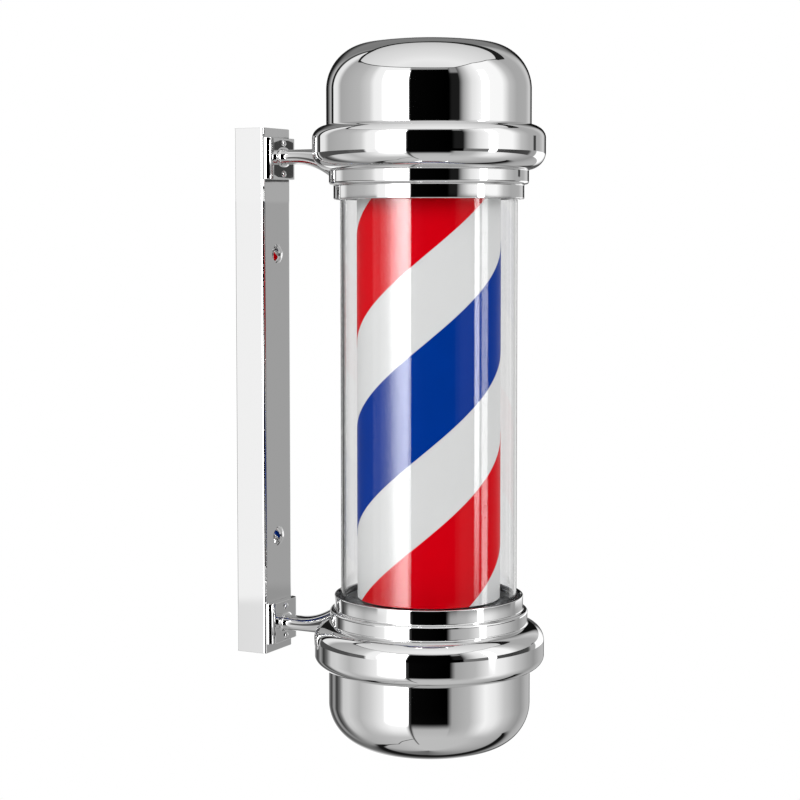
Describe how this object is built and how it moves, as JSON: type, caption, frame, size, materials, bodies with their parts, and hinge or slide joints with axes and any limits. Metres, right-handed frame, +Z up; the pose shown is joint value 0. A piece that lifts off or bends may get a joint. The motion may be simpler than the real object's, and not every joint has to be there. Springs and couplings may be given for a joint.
{
  "type": "barber pole",
  "caption": "Wall-hung chrome barber pole: a striped drum turns inside a clear cylinder between two domed end rings held by arms on a wall channel.",
  "frame": {"origin": "centre of the four wall holes, in the plane of the wall", "axes": "+Z up along the pole, +Y into the wall, the pole stands out along -Y"},
  "size_m": [0.23, 0.322, 0.713],
  "materials": {
    "chrome": "polished",
    "zinc_steel": "zinc plated",
    "bright_steel": "turned",
    "clear_cylinder": "clear",
    "seal_rubber": "matte",
    "white_drum": "satin",
    "red_film": "gloss film",
    "blue_film": "gloss film",
    "white_plastic": "moulded",
    "washer_plastic": "smooth",
    "motor_brass": "passivated",
    "lamp_brass": "nickelled brass",
    "lamp_glass": "frosted",
    "black_plastic": "moulded",
    "rocker_plastic": "moulded",
    "wire_cover": "smooth"
  },
  "bodies": {
    "frame": {"wall_channel": "chrome", "cover_screws": "chrome", "upper_arm": "chrome", "lower_arm": "chrome", "arm_screws": "chrome", "upper_end_ring": "chrome", "lower_end_ring": "chrome", "upper_dome": "chrome", "lower_dome": "chrome", "dome_screws": "chrome", "wall_plate": "zinc_steel", "wall_standoffs": "zinc_steel", "arm_nuts": "zinc_steel", "ring_screws": "zinc_steel", "upper_end_plate": "zinc_steel", "lower_end_plate": "zinc_steel", "plate_screws": "zinc_steel", "motor_screws": "zinc_steel", "motor_nuts": "zinc_steel", "holder_screws": "zinc_steel", "terminal_screws": "zinc_steel", "motor_gear_cover": "zinc_steel", "glass_tube": "clear_cylinder", "upper_glass_seal": "seal_rubber", "lower_glass_seal": "seal_rubber", "guide_collar": "white_plastic", "terminal_block": "white_plastic", "thrust_washer": "washer_plastic", "motor_case": "motor_brass", "lamp_base": "lamp_brass", "lamp_body": "lamp_glass", "lamp_holder": "black_plastic", "switch_frame": "black_plastic", "cable_gland": "black_plastic", "gland_locknut": "black_plastic", "lamp_lead": "wire_cover", "motor_lead": "wire_cover", "switch_lead": "wire_cover"},
    "drum": {"drum_tube": "white_drum", "red_stripe": "red_film", "blue_stripe": "blue_film", "drum_top_ring": "white_plastic", "drum_bottom_disc": "white_plastic", "drive_hub": "bright_steel", "hub_screws": "zinc_steel", "hub_set_screw": "zinc_steel", "motor_shaft": "bright_steel"},
    "lamp_rocker": {"lamp_rocker": "rocker_plastic"},
    "motor_rocker": {"motor_rocker": "rocker_plastic"}
  },
  "joints": [
    {"name": "drum_spin", "type": "hinge", "parent": "frame", "child": "drum", "pos_m": [0, -0.207, 0.0045], "axis": [0, 0, 1], "continuous": true},
    {"name": "lamp_rocker_tilt", "type": "hinge", "parent": "frame", "child": "lamp_rocker", "pos_m": [-0.0062, -0.22, -0.345], "axis": [1, 0, 0], "range_deg": [0, 16]},
    {"name": "motor_rocker_tilt", "type": "hinge", "parent": "frame", "child": "motor_rocker", "pos_m": [0.0062, -0.22, -0.345], "axis": [1, 0, 0], "range_deg": [0, 16]}
  ]
}
